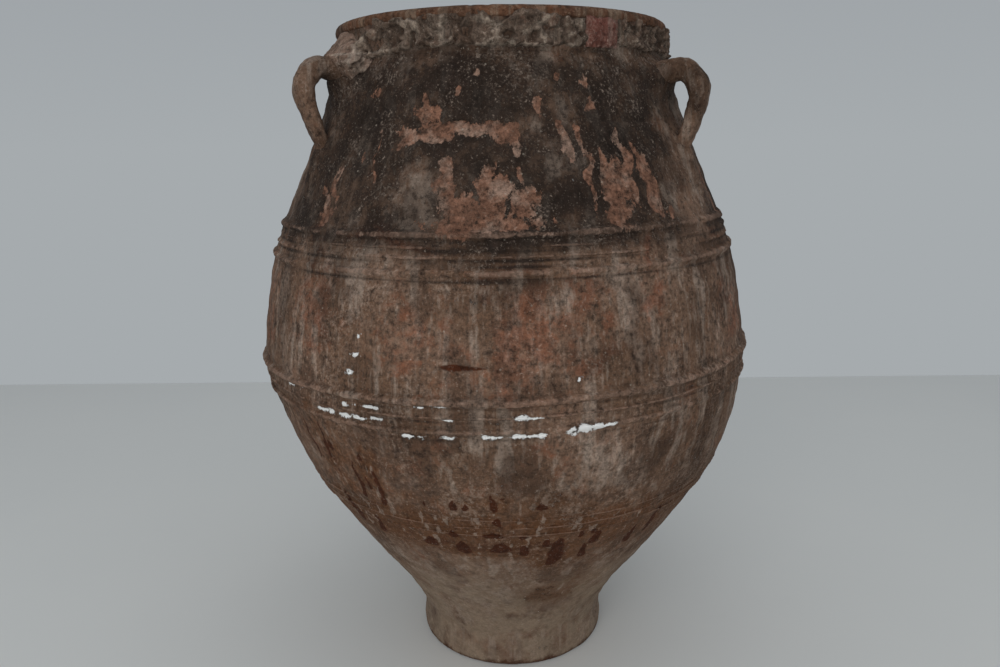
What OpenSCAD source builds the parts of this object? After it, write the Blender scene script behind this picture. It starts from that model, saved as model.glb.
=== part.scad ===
// Large hand-built storage jar with a narrow foot, a wide belly, a collared
// mouth and three strap handles. The wall is a stack of clay sections laid
// one on another; cords of clay run round the joins between them.

/* [Wall sections] */
// height of the foot ring
foot_h = 43; // [25:1:80]
// height of the flaring section above the foot
stem_h = 147; // [90:1:220]
// height of the lower section
lower_h = 140; // [90:1:220]
// height of the section below the belly
under_belly_h = 174; // [110:1:260]
// height of the section above the belly
belly_h = 196; // [120:1:280]
// height of the shoulder section
shoulder_h = 158; // [100:1:230]
// height of the neck section
neck_h = 87; // [60:1:130]
// height of the collar
collar_h = 40; // [25:1:60]
// height of the lip
lip_h = 15; // [10:1:25]

/* [Outside diameters] */
// foot at the ground
foot_ground_d = 311; // [220:1:420]
// foot where it swells
foot_d = 314; // [220:1:420]
// waist, where the foot ring meets the stem
waist_d = 311; // [220:1:420]
// middle of the stem section
stem_mid_d = 373; // [260:1:480]
// top of the stem section
stem_d = 477; // [340:1:600]
// middle of the lower section
lower_mid_d = 574; // [420:1:700]
// top of the lower section
lower_d = 660; // [480:1:800]
// middle of the section below the belly
under_belly_mid_d = 731; // [560:1:860]
// widest, at the join under the belly section
belly_d = 767; // [600:1:900]
// middle of the belly section
belly_mid_d = 747; // [580:1:880]
// top of the belly section
belly_top_d = 699; // [540:1:840]
// middle of the shoulder
shoulder_mid_d = 631; // [480:1:760]
// top of the shoulder
shoulder_d = 563; // [440:1:680]
// middle of the neck
neck_mid_d = 531; // [400:1:640]
// pinch at the top of the neck
neck_d = 492; // [380:1:600]
// collar, low down
collar_d = 491; // [380:1:600]
// collar, at the lip
collar_top_d = 494; // [380:1:600]
// lip
lip_d = 499; // [390:1:620]

/* [Wall] */
// thickness of the wall
wall_t = 22; // [14:0.5:34]
// thickness of the lip and collar
lip_t = 26; // [18:0.5:36]
// thickness of the base disc
base_t = 28; // [18:1:45]
// width of the foot ring's sole
sole_w = 29; // [20:1:50]
// how much the base disc narrows upwards
base_taper = 4; // [0:0.5:10]
// slope of the joins, inside edge above outside edge
scarf = 12; // [4:1:20]
// worn edge round the foot
foot_chamfer = 4; // [1:0.5:8]
// rounding of the lip's edges
lip_round = 6; // [3:0.5:7]
// how much the mouth opens out through the lip
mouth_flare = 1.5; // [0.5:0.5:4]
// step where the collar starts
collar_step = 4; // [2:0.5:8]

/* [Cords] */
// turn of the upper band about the depth axis
upper_tilt = 0.6; // [0:0.1:2]
// turn of the middle band
middle_tilt = 1.3; // [0:0.1:2]
// turn of the lower band
lower_tilt = 0.8; // [0:0.1:2]
// upper band, top cord above the join
upper_1_up = 23; // [15:0.5:35]
// upper band, second cord above the join
upper_2_up = 9; // [5:0.5:14]
// upper band, third cord above the join
upper_3_up = -3; // [-8:0.5:4]
// upper band, lowest cord above the join
upper_4_up = -23; // [-35:0.5:-12]
// middle band, top cord above the join
middle_1_up = 20; // [12:0.5:35]
// middle band, second cord above the join
middle_2_up = 0; // [-5:0.5:8]
// middle band, lowest cord above the join
middle_3_up = -21; // [-35:0.5:-10]
// lower band, top cord above the join
lower_1_up = 16; // [8:0.5:25]
// lower band, second cord above the join
lower_2_up = 2; // [-5:0.5:7]
// lower band, lowest cord above the join
lower_3_up = -13; // [-25:0.5:-8]
// height of a main cord
cord_w = 13; // [8:0.5:18]
// how far a main cord stands out
cord_p = 6.5; // [3:0.5:9]
// height of a thin cord
thin_w = 6; // [4:0.5:9]
// how far a thin cord stands out
thin_p = 3.5; // [2:0.5:5]
// height of a fine line
line_w = 5; // [3:0.5:8]
// how far a fine line stands out
line_p = 2.2; // [1.5:0.1:4]
// thickness left at a cord's edges
cord_edge = 1.2; // [0.8:0.1:1.5]

/* [Handles] */
// middle of the upper root, below the top of the neck
handle_top_drop = 20; // [12:1:35]
// upper root down to the lower root
handle_h = 101; // [80:1:130]
// outer face of the strap, out from the neck
handle_reach = 74; // [50:1:100]
// width of the strap
handle_w = 42; // [28:1:60]
// thickness of the strap
handle_t = 30; // [18:1:38]
// extra width where the upper root spreads on the neck
root_flare = 34; // [10:1:60]
// extra width where the lower root spreads on the shoulder
tail_flare = 12; // [0:1:40]
// direction of the right handle, turned from the right side
right_handle_turn = -30; // [-60:1:0]
// direction of the left handle
left_handle_turn = 210; // [180:1:240]
// direction of the back handle
back_handle_turn = 90; // [60:1:120]

/* [Mortar] */
// thickness of the mortar round the collar
mortar_t = 4.5; // [2:0.5:8]
// gap from the collar's foot to the mortar
mortar_low = 7; // [4:0.5:12]
// where the clay patch starts, turned from the right side
patch_start = -66; // [-90:1:-40]
// sweep of the clay patch
patch_sweep = 12.5; // [8:0.5:20]
// how much the patch stands out past the mortar
patch_proud = 0.8; // [0:0.1:2]
// size of the mortar lump on the left handle's root
lump_r = 27; // [18:1:36]
// direction of that lump
lump_turn = 203; // [190:1:215]
// height of the lump's middle above the neck
lump_up = 9; // [0:1:16]
// how far that lump hangs below the top of the neck
lump_drop = 1; // [0:0.5:3]

/* [Hidden] */
$fn = 96;

// heights of the joins
z_foot = foot_h;
z_stem = z_foot + stem_h;
z_lower = z_stem + lower_h;
z_belly = z_lower + under_belly_h;
z_band = z_belly + belly_h;
z_shoulder = z_band + shoulder_h;
z_neck = z_shoulder + neck_h;
z_collar = z_neck + collar_h;
jar_h = z_collar + lip_h;

// outline stations, height then radius
stations = [[0, foot_ground_d / 2], [z_foot / 2, foot_d / 2],
    [z_foot, waist_d / 2], [z_foot + stem_h / 2, stem_mid_d / 2],
    [z_stem, stem_d / 2], [z_stem + lower_h / 2, lower_mid_d / 2],
    [z_lower, lower_d / 2],
    [z_lower + under_belly_h / 2, under_belly_mid_d / 2],
    [z_belly, belly_d / 2], [z_belly + belly_h / 2, belly_mid_d / 2],
    [z_band, belly_top_d / 2],
    [z_band + shoulder_h / 2, shoulder_mid_d / 2],
    [z_shoulder, shoulder_d / 2],
    [z_shoulder + neck_h / 2, neck_mid_d / 2], [z_neck, neck_d / 2]];
last = len(stations) - 1;
// spacing of the outline's points
step = 10;
// points each side of a swept section, and sections along a handle
around = 24;
along = 26;

// rise of the outline between stations i and i + 1, per unit of height
function secant(i) = (stations[i + 1][1] - stations[i][1])
    / (stations[i + 1][0] - stations[i][0]);
function gap(i) = stations[i + 1][0] - stations[i][0];
// rise of the smooth outline at a station
function rise(i) = i == 0 ? secant(0) : i == last ? secant(last - 1)
    : (gap(i) * secant(i - 1) + gap(i - 1) * secant(i)) / (gap(i) + gap(i - 1));
function span(z, i = 0) =
    i >= last - 1 || z < stations[i + 1][0] ? i : span(z, i + 1);
function curve(i, t) = (2 * t * t * t - 3 * t * t + 1) * stations[i][1]
    + (t * t * t - 2 * t * t + t) * gap(i) * rise(i)
    + (3 * t * t - 2 * t * t * t) * stations[i + 1][1]
    + (t * t * t - t * t) * gap(i) * rise(i + 1);
function smooth_r(z) = let (i = span(z)) curve(i, (z - stations[i][0]) / gap(i));
function lean(z) = (smooth_r(z + 1) - smooth_r(z - 1)) / 2;
function smooth_in(z) = smooth_r(z) - wall_t * sqrt(1 + lean(z) * lean(z));
// straight runs between the outline's points, so that neighbours share faces
function low(z) = floor(z / step) * step;
function mix(a, b, t) = a + (b - a) * t;
function out_r(z) = mix(smooth_r(low(z)), smooth_r(low(z) + step), (z - low(z)) / step);
function in_r(z) = mix(smooth_in(low(z)), smooth_in(low(z) + step), (z - low(z)) / step);
function inner_heights(z0, z1) =
    [for (z = [low(z0) + step : step : z1 - 0.001]) z];
function out_run(z0, z1) = concat([[out_r(z0), z0]],
    [for (z = inner_heights(z0, z1)) [out_r(z), z]], [[out_r(z1), z1]]);
function in_run(z0, z1) = concat([[in_r(z0), z0]],
    [for (z = inner_heights(z0, z1)) [in_r(z), z]], [[in_r(z1), z1]]);
function back(list) = [for (i = [len(list) - 1 : -1 : 0]) list[i]];

// the collar and lip, outside and inside
collar_out = [[collar_d / 2, z_neck + collar_step], [collar_top_d / 2, z_collar]];
collar_in = [collar_top_d / 2 - lip_t, z_collar + scarf / 2];
function corner(r, z, a0) = [for (a = [a0 : 15 : a0 + 90])
    [r + lip_round * cos(a), z + lip_round * sin(a)]];
lip_out = concat([[collar_top_d / 2, z_collar], [lip_d / 2, z_collar + 3]],
    corner(lip_d / 2 - lip_round, jar_h - lip_round, 0));
lip_in = concat(corner(collar_top_d / 2 - lip_t + lip_round + mouth_flare,
    jar_h - lip_round, 90), [collar_in]);
foot_edge = [[foot_ground_d / 2 - foot_chamfer, 0]];
sole_r = foot_ground_d / 2 - sole_w;
// outside and inside of the neck where the collar sits on it
neck_r = out_r(z_neck);
neck_in = [neck_r - lip_t, z_neck + scarf];
outline = concat(foot_edge, out_run(foot_chamfer, z_neck), collar_out, lip_out);

module jar_solid() {
    rotate_extrude() polygon(concat([[0, 0]], outline, [[0, jar_h]]));
}

// solid clay between two heights, with the outline's own faces
module plug(z0, z1) {
    rotate_extrude()
        polygon(concat([[0, z0]], out_run(z0, z1), [[0, z1]]));
}

module wall(z0, z1) {
    rotate_extrude()
        polygon(concat(out_run(z0, z1), back(in_run(z0 + scarf, z1 + scarf))));
}

module base_disc() {
    color("#8a7461") cylinder(h = base_t, r1 = sole_r, r2 = sole_r - base_taper);
}

module foot_ring() {
    color("#927a66") rotate_extrude()
        polygon(concat(foot_edge, out_run(foot_chamfer, z_foot),
            [[in_r(z_foot + scarf), z_foot + scarf],
                [sole_r - base_taper, base_t], [sole_r, 0]]));
}

module stem_wall() { color("#8f7865") wall(z_foot, z_stem); }
module lower_wall() { color("#7d675a") wall(z_stem, z_lower); }
module under_belly_wall() { color("#75645b") wall(z_lower, z_belly); }
module belly_wall() { color("#6f5f56") wall(z_belly, z_band); }
module shoulder_wall() { color("#5c524d") wall(z_band, z_shoulder); }

module neck_wall() {
    color("#5a514c") rotate_extrude()
        polygon(concat(out_run(z_shoulder, z_neck), [neck_in],
            back(in_run(z_shoulder + scarf, z_neck - step))));
}

module collar() {
    color("#7a6a5e") rotate_extrude()
        polygon(concat([[neck_r, z_neck]], collar_out, [collar_in, neck_in]));
}

module lip() {
    color("#96694a") rotate_extrude() polygon(concat(lip_out, lip_in));
}

// a cord pressed round the wall at height z, standing out by p; full = how
// square its back is; heavy = which way its crest leans (1 is even)
module cord(z, w, p, tilt, full, heavy) {
    tan_tilt = tan(tilt);
    reach = out_r(z) * tan_tilt + w;
    bed = cord_edge * 4;
    difference() {
        translate([lean(z) * tan_tilt * out_r(z), 0, z]) rotate([0, -tilt, 0])
            rotate_extrude()
                polygon(concat(
                    [for (i = [0 : 10]) let (t = i / 10, h = w * (t - 0.5))
                        [out_r(z) + lean(z) * h + cord_edge + (p - cord_edge)
                            * pow(sin(180 * pow(t, heavy)), full), h]],
                    [[out_r(z) + lean(z) * w / 2 - bed, w / 2],
                        [out_r(z) - lean(z) * w / 2 - bed, -w / 2]]));
        plug(z - reach, z + reach);
    }
}

module upper_band_cord_1() {
    color("#7c6757") cord(z_band + upper_1_up, cord_w, cord_p, upper_tilt, 0.8, 1.1);
}
module upper_band_cord_2() {
    color("#786354") cord(z_band + upper_2_up, thin_w, thin_p, upper_tilt, 1, 1);
}
module upper_band_cord_3() {
    color("#786354") cord(z_band + upper_3_up, thin_w, thin_p, upper_tilt, 1, 1);
}
module upper_band_cord_4() {
    color("#7c6757") cord(z_band + upper_4_up, cord_w, cord_p, upper_tilt, 0.7, 1.5);
}
module middle_band_cord_1() {
    color("#8c6a50") cord(z_belly + middle_1_up, cord_w, cord_p, middle_tilt, 0.7, 1);
}
module middle_band_cord_2() {
    color("#7c6657") cord(z_belly + middle_2_up, thin_w, thin_p, middle_tilt, 1, 1.2);
}
module middle_band_cord_3() {
    color("#7c6657") cord(z_belly + middle_3_up, cord_w, thin_p, middle_tilt, 0.7, 1.8);
}
module lower_band_line_1() {
    color("#8f7a68") cord(z_lower + lower_1_up, line_w, line_p, lower_tilt, 1, 1);
}
module lower_band_line_2() {
    color("#8f7a68") cord(z_lower + lower_2_up, line_w, line_p, lower_tilt, 1, 1);
}
module lower_band_line_3() {
    color("#8f7a68") cord(z_lower + lower_3_up, line_w, line_p, lower_tilt, 1, 1);
}

// strap handle: middle line from the neck, out and down to the shoulder
z_top = z_neck - handle_top_drop;
z_low = z_top - handle_h;
peak_r = out_r(z_top) + handle_reach - handle_t / 2;
strap = [[out_r(z_top) - 24, z_top - 4], [out_r(z_top) + 8, z_top + 3],
    [mix(out_r(z_top), peak_r, 0.62), z_top + 7],
    [peak_r - 4, z_top - 8], [peak_r, z_top - 27],
    [mix(peak_r, out_r(z_low), 0.35), z_top - handle_h * 0.56],
    [mix(peak_r, out_r(z_low), 0.75), z_top - handle_h * 0.8],
    [out_r(z_low) - 4, z_low], [out_r(z_low) - 16, z_low - 24]];
spans = len(strap) - 1;

function strap_rise(i) = i == 0 ? strap[1] - strap[0]
    : i == spans ? strap[spans] - strap[spans - 1]
    : (strap[i + 1] - strap[i - 1]) / 2;
function strap_at(u) = let (i = min(floor(u * spans), spans - 1), t = u * spans - i)
    (2 * t * t * t - 3 * t * t + 1) * strap[i]
    + (t * t * t - 2 * t * t + t) * strap_rise(i)
    + (3 * t * t - 2 * t * t * t) * strap[i + 1]
    + (t * t * t - t * t) * strap_rise(i + 1);
function strap_dir(u) = let (d = strap_at(min(u + 0.01, 1)) - strap_at(max(u - 0.01, 0)))
    d / norm(d);
function ease(t) = let (s = max(0, min(1, t))) s * s * (3 - 2 * s);
function strap_w(u) = handle_w + root_flare * (1 - ease(u / 0.32))
    + tail_flare * ease((u - 0.7) / 0.3);
function strap_t(u) = handle_t + 8 * (1 - ease(u / 0.25)) - 5 * ease((u - 0.5) / 0.3)
    - 5 * ease((u - 0.8) / 0.2);
// rounded strap section, flatter than an ellipse
function puff(c) = sign(c) * pow(abs(c), 0.8);

module strap_handle(turn) {
    points = [for (k = [0 : along]) let (u = k / along, c = strap_at(u),
            d = strap_dir(u)) for (j = [0 : around - 1])
        let (a = 360 * j / around, across = puff(cos(a)) * strap_w(u) / 2,
            off = puff(sin(a)) * strap_t(u) / 2)
        [c[0] - d[1] * off, across, c[1] + d[0] * off]];
    sides = [for (k = [0 : along - 1]) for (j = [0 : around - 1])
        let (a = k * around + j, b = k * around + (j + 1) % around)
        for (f = [[a, b, b + around], [a, b + around, a + around]]) f];
    ends = [[for (j = [around - 1 : -1 : 0]) j],
        [for (j = [0 : around - 1]) along * around + j]];
    rotate([0, 0, turn]) polyhedron(points, concat(sides, ends), convexity = 6);
}

module handle(turn) {
    difference() {
        strap_handle(turn);
        jar_solid();
    }
}

module handle_right() { color("#6e5b50") handle(right_handle_turn); }
module handle_left() { color("#6e5b50") handle(left_handle_turn); }
module handle_back() { color("#6e5b50") handle(back_handle_turn); }

// a coat on the outside of the collar, over part of a turn
module coat(start, sweep, t) {
    z0 = z_neck + mortar_low;
    z1 = z_collar + 2;
    r0 = mix(collar_d, collar_top_d, (mortar_low - collar_step) / (collar_h - collar_step)) / 2;
    rotate([0, 0, start]) rotate_extrude(angle = sweep)
        polygon([[r0, z0], [r0 + t * 0.6, z0 + 2], [r0 + t, z0 + 8],
            [collar_top_d / 2 + t, z1 - 3],
            [mix(collar_top_d, lip_d, 2 / 3) / 2, z1], [collar_top_d / 2, z_collar]]);
}

module collar_mortar() {
    color("#77706a") difference() {
        coat(patch_start + patch_sweep, 360 - patch_sweep, mortar_t);
        strap_handle(right_handle_turn);
        strap_handle(left_handle_turn);
        strap_handle(back_handle_turn);
        lump();
    }
}

module collar_patch() {
    color("#8c4a3e") coat(patch_start, patch_sweep, mortar_t + patch_proud);
}

// a ball of mortar with a flat underside, over the root of the left handle
module lump() {
    under = z_neck - lump_drop;
    difference() {
        rotate([0, 0, lump_turn])
            translate([neck_d / 2 - 4, 0, z_neck + lump_up]) sphere(r = lump_r);
        translate([0, 0, under - 2 * lump_r]) cylinder(h = 2 * lump_r, r = neck_d);
    }
}

module handle_mortar() {
    color("#b59c90") difference() {
        lump();
        jar_solid();
        strap_handle(left_handle_turn);
    }
}

base_disc();
foot_ring();
stem_wall();
lower_wall();
under_belly_wall();
belly_wall();
shoulder_wall();
neck_wall();
collar();
lip();
upper_band_cord_1();
upper_band_cord_2();
upper_band_cord_3();
upper_band_cord_4();
middle_band_cord_1();
middle_band_cord_2();
middle_band_cord_3();
lower_band_line_1();
lower_band_line_2();
lower_band_line_3();
handle_right();
handle_left();
handle_back();
collar_mortar();
collar_patch();
handle_mortar();
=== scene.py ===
# Large weathered storage jar: fired clay sections, clay cords round the joins, three strap handles
# and lime mortar round the collar. Lengths are worked out in millimetres and placed in metres.
import math

import bmesh
import bpy
import numpy as np
from mathutils import Matrix, Vector, noise


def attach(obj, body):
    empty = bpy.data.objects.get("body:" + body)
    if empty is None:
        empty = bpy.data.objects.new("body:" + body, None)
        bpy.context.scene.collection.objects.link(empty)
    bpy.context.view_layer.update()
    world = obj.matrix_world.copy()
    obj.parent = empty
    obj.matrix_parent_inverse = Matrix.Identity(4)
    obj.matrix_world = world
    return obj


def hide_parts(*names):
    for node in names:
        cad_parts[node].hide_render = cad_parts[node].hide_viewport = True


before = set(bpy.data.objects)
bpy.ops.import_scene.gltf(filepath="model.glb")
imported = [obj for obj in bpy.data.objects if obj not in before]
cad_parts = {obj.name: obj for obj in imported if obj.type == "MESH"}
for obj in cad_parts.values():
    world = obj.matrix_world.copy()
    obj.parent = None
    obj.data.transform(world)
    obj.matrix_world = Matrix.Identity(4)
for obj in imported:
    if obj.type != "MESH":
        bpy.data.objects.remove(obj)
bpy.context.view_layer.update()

MM = 0.001
SIDES = 640

# Outline of the clay body: height above the ground, outside radius.
STATIONS = [
    (0, 155.5), (21.5, 157), (43, 155.5), (116.5, 186.5), (190, 238.5), (260, 287), (330, 330),
    (417, 365.5), (504, 383.5), (602, 373.5), (700, 349.5), (779, 315.5), (858, 281.5), (901.5, 265.5),
    (945, 246),
]
# The wall's thickness, how far each section's inside stands above its outside at a join, the
# heights of the joins, and the angles of the three handles.
WALL = 22
SCARF = 12
JOIN_STEM, JOIN_LOWER, JOIN_UNDER, JOIN_BELLY = 43, 190, 330, 504
JOIN_SHOULDER, JOIN_NECK, JOIN_COLLAR, JOIN_LIP = 700, 858, 945, 985
RIGHT, LEFT, BACK = -30, 210, 90
MORTAR_FOOT, MORTAR_TOP = 951, 989


# ---------------------------------------------------------------- shape of the clay

def secant(i):
    return (STATIONS[i + 1][1] - STATIONS[i][1]) / (STATIONS[i + 1][0] - STATIONS[i][0])


def rise(i):
    if i == 0:
        return secant(0)
    if i == len(STATIONS) - 1:
        return secant(i - 1)
    before = STATIONS[i][0] - STATIONS[i - 1][0]
    after = STATIONS[i + 1][0] - STATIONS[i][0]
    return (after * secant(i - 1) + before * secant(i)) / (before + after)


def outline(z):
    i = 0
    while i < len(STATIONS) - 2 and z >= STATIONS[i + 1][0]:
        i += 1
    (z0, r0), (z1, r1) = STATIONS[i], STATIONS[i + 1]
    h = z1 - z0
    t = (z - z0) / h
    return ((2 * t ** 3 - 3 * t * t + 1) * r0 + (t ** 3 - 2 * t * t + t) * h * rise(i)
            + (3 * t * t - 2 * t ** 3) * r1 + (t ** 3 - t * t) * h * rise(i + 1))


def lean(z):
    return (outline(z + 1) - outline(z - 1)) / 2


def inside(z):
    return outline(z) - WALL * math.sqrt(1 + lean(z) ** 2)


HALF_STEPS = np.arange(0, 2001) / 2
OUTLINE_TABLE = np.array([outline(z) for z in HALF_STEPS])


def skin(z):
    """Outside radius at one height or many."""
    return np.interp(z, HALF_STEPS, OUTLINE_TABLE)


def bump(d, width):
    return np.exp(-(d / width) ** 2)


def ease(t):
    t = np.clip(t, 0.0, 1.0)
    return t * t * (3 - 2 * t)


def grain(points, size, seed=0.0):
    """Soft noise at each point, about -0.5 to 0.5; size is in millimetres."""
    places = np.asarray(points, dtype=float) / size + np.array([seed, -seed, 0.37 * seed])
    if places.ndim == 1:
        return noise.noise(places.tolist())
    return np.array([noise.noise(p) for p in places.tolist()])


def turned(angle, from_front):
    """Degrees between an angle from +X and one counted to the right of the front."""
    return (angle + 90 - from_front + 180) % 360 - 180


def places_of(bm):
    """Every vertex in millimetres, with its radius and its angle in degrees."""
    co = np.array([v.co[:] for v in bm.verts]) / MM
    return co, np.hypot(co[:, 0], co[:, 1]), np.degrees(np.arctan2(co[:, 1], co[:, 0]))


def push_out(bm, r, off, keep=None):
    """Moves vertices away from the jar's middle line by off millimetres."""
    for i, vert in enumerate(bm.verts):
        if keep is None or keep[i]:
            scale = (r[i] + off[i]) / r[i]
            vert.co.x *= scale
            vert.co.y *= scale


# Places where the dark crust has come off and bare clay shows: degrees right of the front,
# height, half width in degrees, half height, strength.
BARE = [
    (-12, 849, 13, 9, 1.0), (-27, 838, 3.0, 13, 0.95), (-19, 841, 6, 8, 0.85), (0, 843, 3.5, 14, 0.95),
    (1, 826, 1.5, 8, 0.85), (-22, 871, 3.2, 10, 0.95), (-23, 884, 1.2, 8, 0.85),
    (-13, 896, 1.0, 7, 0.9), (7.5, 874, 0.8, 15, 0.9), (-9, 918, 1.4, 6, 0.72), (13, 912, 1.5, 8, 0.76),
    (21, 907, 1.5, 8, 0.72), (-41, 902, 2.0, 10, 0.76), (23.5, 875, 1.6, 7, 0.9),
    (22.5, 884, 0.8, 6, 0.8), (14, 842, 1.3, 23, 0.95), (14.5, 822, 0.9, 16, 0.8),
    (18, 834, 0.8, 20, 0.75), (-15, 768, 2.6, 36, 0.8), (-15, 802, 1.8, 12, 0.75),
    (-10, 746, 3.4, 22, 0.95), (-4, 762, 3.0, 32, 0.95), (-4, 800, 1.4, 14, 0.85),
    (2.5, 758, 2.4, 18, 0.95), (2, 792, 0.8, 22, 0.85), (-6, 733, 12, 9, 0.75), (6, 764, 1.2, 12, 0.7),
    (9, 742, 1.0, 9, 0.6), (25, 770, 2.8, 38, 1.05), (23, 810, 1.1, 16, 0.85),
    (29.5, 824, 0.9, 24, 0.9), (29.5, 786, 2.0, 32, 0.95), (36, 774, 1.8, 42, 0.95),
    (33.5, 812, 1.0, 22, 0.75), (19, 786, 0.9, 42, 0.8), (40, 742, 3, 12, 0.6),
    (-46, 782, 1.6, 24, 0.85), (-49, 760, 1.4, 14, 0.75), (-47, 738, 3.5, 12, 0.75),
    (-34, 790, 0.9, 22, 0.75), (-36, 838, 0.8, 26, 0.6), (-40, 812, 1.2, 12, 0.5),
    (62, 800, 2.5, 40, 0.85), (66, 760, 1.4, 34, 0.85), (90, 770, 4, 34, 0.95), (97, 790, 2, 46, 0.9),
    (104, 752, 5, 16, 0.8), (120, 830, 5, 18, 0.9), (126, 812, 2, 30, 0.8), (146, 760, 5, 30, 1.0),
    (154, 778, 3, 44, 0.9), (162, 745, 4, 20, 0.8), (178, 815, 4, 24, 0.9), (184, 790, 2, 40, 0.8),
    (200, 745, 8, 18, 0.9), (207, 775, 2, 34, 0.8), (234, 790, 3, 40, 0.9), (241, 760, 4, 24, 0.9),
    (262, 760, 4, 24, 0.9), (267, 800, 1.6, 30, 0.8), (288, 820, 3, 26, 0.8),
]

# Warm red clay showing through on the belly.
RED = [
    (-44, 620, 5, 50, 0.55), (-23, 600, 6, 40, 0.5), (-17, 575, 8, 22, 0.45), (4, 600, 7, 50, 0.7),
    (12, 625, 5, 30, 0.45), (10, 570, 7, 20, 0.4), (31, 640, 1.8, 26, 0.8), (-20, 545, 6, 12, 0.55),
    (-27, 706, 6, 6, 0.9), (-32, 410, 6, 40, 0.45), (-43, 400, 4, 50, 0.5), (29, 700, 2, 8, 0.7),
    (-20, 440, 5, 30, 0.35), (8, 440, 6, 30, 0.35), (60, 590, 8, 45, 0.6), (85, 420, 10, 40, 0.5),
    (110, 610, 9, 50, 0.6), (150, 580, 8, 40, 0.6), (175, 430, 10, 40, 0.5), (200, 620, 9, 50, 0.6),
    (240, 590, 8, 45, 0.6), (270, 430, 10, 40, 0.5), (290, 610, 7, 45, 0.6),
]

# Pale lime streaks that water has left. The short ones at heights 951 and 952 lie along the mortar's foot:
# partly lime, partly a painted highlight on its ledge.
LIME = [
    (24, 600, 3.0, 70, 0.75), (33, 560, 4, 50, 0.4), (49, 590, 5, 60, 0.55), (-19, 765, 5.5, 48, 1.0),
    (-28, 690, 14, 30, 0.35), (-6, 700, 10, 12, 0.35), (0, 640, 14, 16, 0.4), (-52, 400, 1.2, 60, 0.8),
    (-46, 430, 1.0, 40, 0.7), (18, 425, 6, 40, 0.85), (25, 430, 3, 44, 0.6), (-10, 455, 3, 16, 0.6),
    (15, 590, 4, 25, 0.4), (28, 535, 8, 14, 0.6), (9, 470, 5, 10, 0.5), (-26, 420, 2, 40, 0.5),
    (-13, 150, 11, 38, 0.85), (-30, 190, 8, 34, 0.8), (4, 80, 14, 26, 0.6), (-30, 60, 10, 24, 0.5),
    (17.5, 200, 0.8, 60, 1.0), (14.5, 262, 0.6, 30, 0.9), (-6.5, 262, 0.5, 30, 0.8),
    (-13, 268, 0.5, 34, 0.8), (4.6, 266, 0.6, 30, 0.8), (-20, 270, 0.6, 34, 0.7),
    (23, 300, 0.6, 40, 0.7), (-27, 262, 0.7, 30, 0.6), (-9, 981, 4.5, 5, 1.0), (-4, 975, 3, 5, 0.8),
    (9, 981, 4, 4, 1.0), (-47, 977, 5, 5, 0.6), (-30, 981, 5, 4, 0.6), (-3, 951, 12, 2.0, 0.9),
    (14, 951, 7, 2.0, 0.7), (-41, 941, 8, 3, 0.6), (44, 965, 5, 8, 0.5), (70, 430, 5, 50, 0.7),
    (95, 590, 4, 70, 0.7), (130, 440, 6, 50, 0.8), (165, 600, 5, 70, 0.7), (205, 430, 6, 50, 0.8),
    (225, 600, 4, 70, 0.7), (255, 440, 5, 50, 0.7), (300, 600, 4, 70, 0.7), (90, 980, 8, 6, 0.8),
    (140, 952, 10, 3, 0.8), (190, 980, 8, 6, 0.8), (250, 975, 8, 8, 0.7),
]

# Where the dark crust is thinner.
LIGHTER = [
    (-20, 760, 6, 36, 0.55), (-62, 880, 10, 60, 0.35), (52, 790, 9, 80, 0.6), (40, 900, 12, 40, 0.25),
    (-8, 722, 12, 8, 0.4), (12, 820, 5, 40, 0.2), (75, 760, 12, 60, 0.4), (-46, 790, 5, 50, 0.2),
    (110, 900, 14, 40, 0.4), (140, 760, 14, 60, 0.4), (190, 800, 12, 60, 0.4), (230, 740, 12, 40, 0.4),
    (280, 790, 12, 60, 0.5), (18, 850, 4, 40, 0.2), (7, 800, 3, 40, 0.2), (32, 700, 10, 12, 0.25),
]

# Grime below the bands and on the stem.
GRIME = [
    (-42, 698, 14, 26, 0.62), (37, 697, 12, 22, 0.48), (-4, 657, 20, 12, 0.36), (26, 650, 8, 26, 0.45),
    (-36, 655, 8, 16, 0.4), (20, 150, 12, 36, 0.42), (46, 375, 8, 60, 0.5), (34, 440, 4, 36, 0.4),
    (0, 420, 6, 40, 0.25), (-10, 600, 5, 40, 0.2), (18, 560, 4, 40, 0.25), (-30, 560, 6, 30, 0.25),
    (0, 205, 16, 16, 0.3), (-22, 50, 10, 12, 0.3), (24, 40, 12, 20, 0.35), (-34, 470, 10, 16, 0.35),
    (40, 600, 5, 50, 0.4), (-55, 600, 6, 60, 0.4), (70, 655, 20, 14, 0.5), (120, 420, 10, 50, 0.35),
    (130, 655, 20, 16, 0.5), (190, 655, 20, 16, 0.5), (150, 150, 14, 36, 0.4), (250, 655, 20, 16, 0.5),
    (240, 400, 10, 50, 0.35), (225, 120, 12, 30, 0.35),
]

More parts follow.
